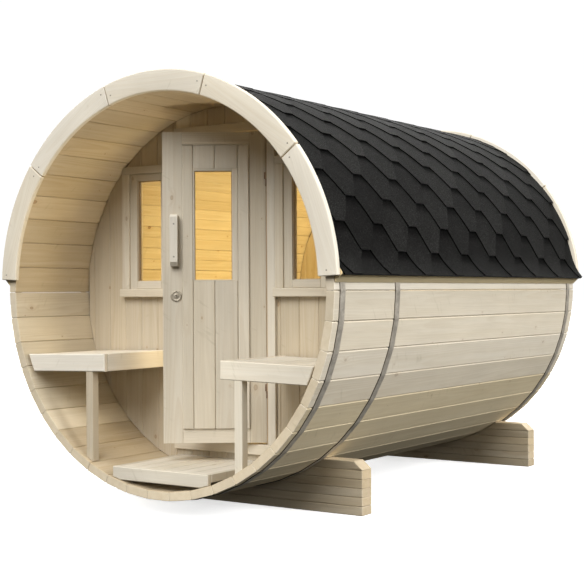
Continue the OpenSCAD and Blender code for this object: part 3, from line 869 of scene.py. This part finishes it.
S = Piece()
xb = math.sqrt(R_CLIP ** 2 - 943.0 ** 2)
zb = -math.sqrt(R_CLIP ** 2 - 302.0 ** 2)
S.prism([(-xb, -943.0), (xb, -943.0), (302.0, zb), (302.0, -877.0), (-302.0, -877.0), (-302.0, zb)], X, Z, -34.0, -6.0, bev=3.5, along="a")
for x0, x1 in ((274.0, 302.0), (-302.0, -274.0)):
    S.prism(rrect(x0, x1, -917.0, -877.0, 3.0), X, Z, -555.0, -34.3, bev=1.0)
for ya, yb in ((270.0, 298.0), (516.0, 544.0)):
    S.prism([(-xb, -943.0), (xb, -943.0), (273.6, -938.0), (273.6, -905.2), (-273.6, -905.2), (-273.6, -938.0)], X, Z, -yb, -ya, bev=1.0, along="a")
S.make("visual_porch_floor_frame", [EDGE], "cabin", ["porch_floor_frame"])
S = Piece()
w = (2 * 274.0 - 2 - 35) / 6
for i in range(6):
    x0 = -273.0 + i * (w + 7)
    S.prism(rrect(x0, x0 + w, -904.5, -877.5, 4.0, 3), X, Z, -554.5, -34.5, bev=1.5)
S.make("visual_porch_floor_slats", [STEP], "cabin", ["porch_floor_slats"])
S = Piece()
for i in range(8):
    x0 = -430.0 + 107.5 * i
    S.prism(crect(x0 + 0.4, x0 + 107.1, -876.0, -848.0, 2.0), X, Z, -2744.0, -602.0, bev=1.0)
for ya in (661.0, 1629.5, 2625.0):
    S.prism([(-330.0, -917.0), (330.0, -917.0), (400.0, -889.0), (400.0, -876.3), (-400.0, -876.3), (-400.0, -889.0)], X, Z, -(ya + 60), -ya, bev=1.0, along="a")
S.make("visual_cabin_floor", [WALLW], "cabin", ["cabin_floor"])

# cradles of stacked boards
for name, y0 in (("front_cradle", 600.0), ("rear_cradle", 2650.0)):
    S = Piece()

    def lip(z):
        return math.sqrt(max(1025.7 ** 2 - z * z, 0.0))

    for k in range(6):
        z0, z1 = -1116.0 + 45.0 * k + (0.7 if k else 0.0), -1071.0 + 45.0 * k - 0.7
        if k < 2:
            S.prism(rrect(-806.0, 806.0, z0, z1, 3.0, 1), X, Z, -(y0 + 90), -y0, bev=3.0, along="a")
            continue
        for s in (1, -1):
            if k < 5:
                pts = [(max(lip(z0), 46.0), z0), (806.0, z0), (806.0, z1)]
            else:
                pts = [(lip(z0), z0), (806.0, z0), (806.0, -888.0), (758.0, z1)]
            pts += [(max(lip(z), 46.0), z) for z in (z1, (z0 + 2 * z1) / 3, (2 * z0 + z1) / 3)]
            if s < 0:
                pts = [(-a, b) for a, b in reversed(pts)]
            S.prism(pts, X, Z, -(y0 + 90), -y0, bev=3.0, along="a")
    S.make("visual_" + name, [CRADLE], "cabin", [name])

# ---------------------------------------------------------------- door

OPEN = math.radians(34.5)
HX, HY = 272.0, 546.0


def opened(p):
    dx, dy = p[0] - HX, p[1] - HY
    return Vector((HX + math.cos(OPEN) * dx - math.sin(OPEN) * dy, HY + math.sin(OPEN) * dx + math.cos(OPEN) * dy, p[2]))


def lx(u):
    return 271.0 - u


def upright(S, u0, u1, y0, y1, z0, z1, r=2.5, bev=1.0, cut=None):
    poly = crect(lx(u1), lx(u0), y0, y1, cut, 2.0) if cut else rrect(lx(u1), lx(u0), y0, y1, r)
    S.prism(poly, X, Y, z0, z1, bev=bev)


def rail(S, u0, u1, y0, y1, z0, z1, r=2.5, bev=1.0):
    S.prism(rrect(y0, y1, z0, z1, r), Y, Z, lx(u1), lx(u0), bev=bev)


S = Piece()
upright(S, 0.0, 86.0, 551.0, 584.0, -781.0, 820.0)
# the hinge stile gets a low tone and the full tint: painted shade
S.tone, S.tint = [0.0] * len(S.f), [1.0] * len(S.f)
upright(S, 430.2, 532.0, 551.0, 584.0, -781.0, 820.0)
rail(S, 86.2, 430.0, 551.0, 584.0, 762.2, 820.0)
rail(S, 86.2, 430.0, 551.0, 584.0, -781.0, -705.2)
upright(S, 86.2, 143.3, 539.0, 584.0, -705.0, 762.0, cut=4.5)
upright(S, 373.7, 430.0, 539.0, 584.0, -705.0, 762.0, cut=4.5)
for u0, u1 in ((144.5, 261.6), (262.6, 372.7)):
    upright(S, u0, u1, 539.0, 584.0, -705.0, 53.8, cut=4.5)
    upright(S, u0, u1, 539.0, 584.0, 632.2, 762.0, cut=4.5)
upright(S, 144.0, 173.8, 541.0, 584.0, 54.0, 632.0, cut=2.5)
upright(S, 366.2, 373.0, 541.0, 584.0, 54.0, 632.0, cut=1.5)
rail(S, 174.0, 366.0, 541.0, 584.0, 618.2, 632.0, 2.0)
rail(S, 174.0, 366.0, 541.0, 584.0, 54.0, 59.8, 1.5)
S.prism([(533.0, 753.0), (539.0, 750.0), (551.0, 750.0), (551.0, 764.0), (537.0, 764.0), (533.0, 760.0)], Y, Z, lx(430.0), lx(86.2), bev=1.0)
# glazing beads, in the dark bead wood as painted shade
for x0 in (lx(366.0), lx(174.0) - 3.4):
    S.prism(crect(x0, x0 + 3.4, 546.0, 552.8, 0.6), X, Y, 60.0, 618.0, bev=0.4, mat=1)
S.prism(crect(546.0, 552.8, 614.6, 618.0, 0.6), Y, Z, lx(366.0) + 3.5, lx(174.0) - 3.5, bev=0.4, mat=1)
S.make("visual_door_leaf", [DOORW, BEAD_SHADE], "door", ["door_leaf"], turn=opened)
S = Piece()
S.prism(crect(lx(366.0), lx(174.0), 553.0, 559.0, 0.8), X, Y, 60.0, 618.0, bev=0.8)
S.make("visual_door_glass", [GLASS], "door", ["door_glass"], turn=opened)
S = Piece()
S.prism([(524.0, 130.0), (551.0, 130.0), (551.0, 394.0), (517.0, 394.0), (506.0, 383.0), (506.0, 152.0)], Y, Z, lx(492.0), lx(450.0), bev=3.0, along="b")
for z in (178.0, 346.0):
    screw(S, Vector((lx(471.0), 506.0, z)), -Y, 4.0, 0.5)
S.make("visual_door_handle", [PLANED, DARKM], "door", ["door_handle"], turn=opened)
S = Piece()
c = Vector((lx(463.0), 551.0, -23.0))
S.lathe(c, -Y, [(29.0, 0.0), (29.0, 3.2), (27.2, 5.2), (22.5, 6.0), (20.5, 5.2), (17.0, 4.8), (11.0, 5.0), (9.5, 5.9), (8.6, 6.0)], 40)
S.lathe(c + Z * 2.0 - Y * 5.6, -Y, [(3.6, 0.0), (3.6, 0.55), (3.2, 0.6)], 16, 1)
S.prism(crect(lx(463.0) - 1.6, lx(463.0) + 1.6, -32.5, -21.0, 0.5), X, Z, -546.0, -544.85, o=Vector((0, 0, 0)), bev=0.2, mat=1)
for z in (-46.0, 0.0):
    screw(S, Vector((lx(463.0), 545.6, z)), -Y, 2.4, 0.5, 1)
S.make("visual_door_lock", [LOCKM, DARKM], "door", ["door_lock"], turn=opened)


def knuckle(S, z0, z1):
    S.lathe(Vector((HX, HY, z0)), Z, [(3.6, 0.0), (4.5, 0.9), (4.5, z1 - z0 - 0.9), (3.6, z1 - z0)], 18)


S = Piece()
for z in (575.0, -515.0):
    knuckle(S, z - 36.0, z)
    S.lathe(Vector((HX, HY, z - 38.0)), Z, [(1.6, 0.0), (2.4, 1.0), (2.4, 76.0), (1.2, 77.5)], 12)
    S.prism(rrect(HX, 280.6, 537.4, HY, 0.6, 1), X, Y, z - 36.0, z, bev=0.4)
S.make("visual_frame_hinges", [HINGEM], "cabin", ["frame_hinges"])
S = Piece()
for z in (575.0, -515.0):
    knuckle(S, z + 0.8, z + 35.8)
    S.prism(rrect(lx(9.0), lx(-1.0), HY - 2.0, 550.9, 0.6, 1), X, Y, z + 0.8, z + 35.8, bev=0.4)
S.make("visual_door_hinges", [HINGEM], "door", ["door_hinges"], turn=opened)

# ---------------------------------------------------------------- camera

yaw, pitch, roll = math.radians(33.8709), math.radians(-0.0309), math.radians(-0.3184)
fw = Vector((-math.sin(yaw) * math.cos(pitch), math.cos(yaw) * math.cos(pitch), math.sin(pitch)))
rt = Vector((math.cos(yaw), math.sin(yaw), 0.0))
up = rt.cross(fw)
rt2 = rt * math.cos(roll) + up * math.sin(roll)
up2 = up * math.cos(roll) - rt * math.sin(roll)
cam_data = bpy.data.cameras.new("camera")
cam_data.lens, cam_data.sensor_width = 77.12, 36.0
cam_data.clip_end = 500.0
cam = bpy.data.objects.new("camera", cam_data)
bpy.context.scene.collection.objects.link(cam)
cam.matrix_world = Matrix((
    (rt2.x, up2.x, -fw.x, 3.96542),
    (rt2.y, up2.y, -fw.y, -6.15055),
    (rt2.z, up2.z, -fw.z, 1.11385),
    (0, 0, 0, 1),
))
bpy.context.scene.camera = cam

# ---------------------------------------------------------------- stage


def disc(name, radius, z, n=96):
    me = bpy.data.meshes.new(name)
    me.from_pydata([(radius * math.cos(2 * math.pi * i / n), radius * math.sin(2 * math.pi * i / n), z) for i in range(n)], [], [tuple(range(n))])
    ob = bpy.data.objects.new(name, me)
    bpy.context.scene.collection.objects.link(ob)
    return ob


floor = disc("floor", 120.0, -0.001)
m = Shade("pale_floor")
co = m.t.nodes.new("ShaderNodeNewGeometry").outputs["Position"]
m.set(Base_Color=m.mix(m.noise(co, 0.6, 2.0), (0.86, 0.86, 0.86), (0.90, 0.90, 0.90)), Roughness=0.95, Specular_IOR_Level=0.0, Emission_Color=(1, 1, 1), Emission_Strength=0.62)
floor.data.materials.append(m.mat)
floor.visible_diffuse = False
floor.visible_glossy = False

# a white backdrop that only the camera sees
me = bpy.data.meshes.new("backdrop")
nu, nv, R = 48, 20, 110.0
vs = [(R * math.cos(2 * math.pi * i / nu) * math.cos(math.pi * (j / nv - 0.5)), R * math.sin(2 * math.pi * i / nu) * math.cos(math.pi * (j / nv - 0.5)), R * math.sin(math.pi * (j / nv - 0.5))) for j in range(1, nv) for i in range(nu)]
fs = [(j * nu + i, j * nu + (i + 1) % nu, (j + 1) * nu + (i + 1) % nu, (j + 1) * nu + i) for j in range(nv - 2) for i in range(nu)]
fs += [tuple(range(nu)), tuple(range((nv - 2) * nu, (nv - 1) * nu))]
me.from_pydata(vs, [], fs)
dome = bpy.data.objects.new("backdrop", me)
bpy.context.scene.collection.objects.link(dome)
mat = bpy.data.materials.new("white_backdrop")
mat.use_nodes = True
mat.node_tree.nodes.clear()
o_ = mat.node_tree.nodes.new("ShaderNodeOutputMaterial")
e_ = mat.node_tree.nodes.new("ShaderNodeEmission")
e_.inputs["Color"].default_value = (1, 1, 1, 1)
e_.inputs["Strength"].default_value = 1.02
mat.node_tree.links.new(e_.outputs[0], o_.inputs["Surface"])
me.materials.append(mat)
for key in ("visible_diffuse", "visible_glossy", "visible_transmission", "visible_volume_scatter", "visible_shadow"):
    setattr(dome, key, False)

# soft sky, paler above than below
world = bpy.data.worlds.new("studio")
bpy.context.scene.world = world
world.use_nodes = True
wt = world.node_tree
wt.nodes.clear()
wo = wt.nodes.new("ShaderNodeOutputWorld")
bg = wt.nodes.new("ShaderNodeBackground")
tc = wt.nodes.new("ShaderNodeTexCoord")
sx = wt.nodes.new("ShaderNodeSeparateXYZ")
rp = wt.nodes.new("ShaderNodeMapRange")
rp.interpolation_type = "SMOOTHSTEP"
for i, v in enumerate((0.0, -0.16, 0.45, 0.03, 0.42)):
    rp.inputs[i].default_value = v
wt.links.new(tc.outputs["Generated"], sx.inputs[0])
wt.links.new(sx.outputs[2], rp.inputs[0])
wt.links.new(rp.outputs[0], bg.inputs["Strength"])
bg.inputs["Color"].default_value = (1.0, 0.955, 0.87, 1)
wt.links.new(bg.outputs[0], wo.inputs["Surface"])


def sun(name, d, strength, angle, colour=(1, 1, 1)):
    li = bpy.data.lights.new(name, "SUN")
    li.energy, li.angle, li.color = strength * math.pi, math.radians(angle), colour
    ob = bpy.data.objects.new(name, li)
    ob.rotation_mode = "QUATERNION"
    ob.rotation_quaternion = Vector(d).to_track_quat("Z", "Y")
    bpy.context.scene.collection.objects.link(ob)
    return ob


sun("front_light", (0.10, -0.74, 0.67), 1.06, 44)
sun("side_light", (0.90, 0.05, 0.43), 1.00, 30)
sun("back_light", (-0.25, 0.94, 0.22), 0.80, 40)
sun("left_light", (-0.93, 0.27, 0.25), 0.95, 40)


def soft_box(name, at, aim, w, h, watts, colour, spread=180):
    """A small soft light that shows only by what it lights."""
    li = bpy.data.lights.new(name, "AREA")
    li.shape, li.size, li.size_y = "RECTANGLE", w, h
    li.energy, li.color, li.spread = watts, colour, math.radians(spread)
    ob = bpy.data.objects.new(name, li)
    ob.location = row(at)
    ob.rotation_mode = "QUATERNION"
    ob.rotation_quaternion = (-Vector(aim)).to_track_quat("Z", "Y")
    ob.visible_camera = False
    ob.visible_glossy = False
    ob.visible_transmission = False
    bpy.context.scene.collection.objects.link(ob)
    return ob


# light thrown back up from the porch, and the lamp light that falls out of the doorway
soft_box("front_fill", (-300, -700, -620), (0.60, 0.79, 0.07), 0.5, 0.5, 0.85, (1.0, 0.96, 0.88), 78)
soft_box("cabin_back", (350, 1500, 150), (-0.15, 1.0, 0.0), 0.9, 0.9, 8.0, (0.93, 0.74, 0.34), 120)
fill = soft_box("porch_fill", (-40, -210, -280), (-0.22, 0.10, 1.0), 0.60, 0.30, 3.8, (1.0, 0.87, 0.66), 130)
lit = bpy.data.collections.new("porch_ceiling")
for name in ("roof_staves", "left_upper_staves", "right_upper_staves", "front_wall_over_door", "front_arch"):
    lit.objects.link(bpy.data.objects["visual_" + name])
fill.light_linking.receiver_collection = lit
soft_box("doorway_spill", (-222, 390, -100), (-0.94, -0.345, 0.0), 0.22, 1.20, 0.80, (1.0, 0.84, 0.60))
# warm lamp inside the cabin, on the right, shining across to the left wall
soft_box("cabin_lamp", (800, 1750, 150), (-1.0, 0.0, 0.0), 1.9, 0.8, 19.4, (0.93, 0.74, 0.34), 100)

bpy.context.scene.view_settings.view_transform = "Standard"
bpy.context.scene.view_settings.look = "None"
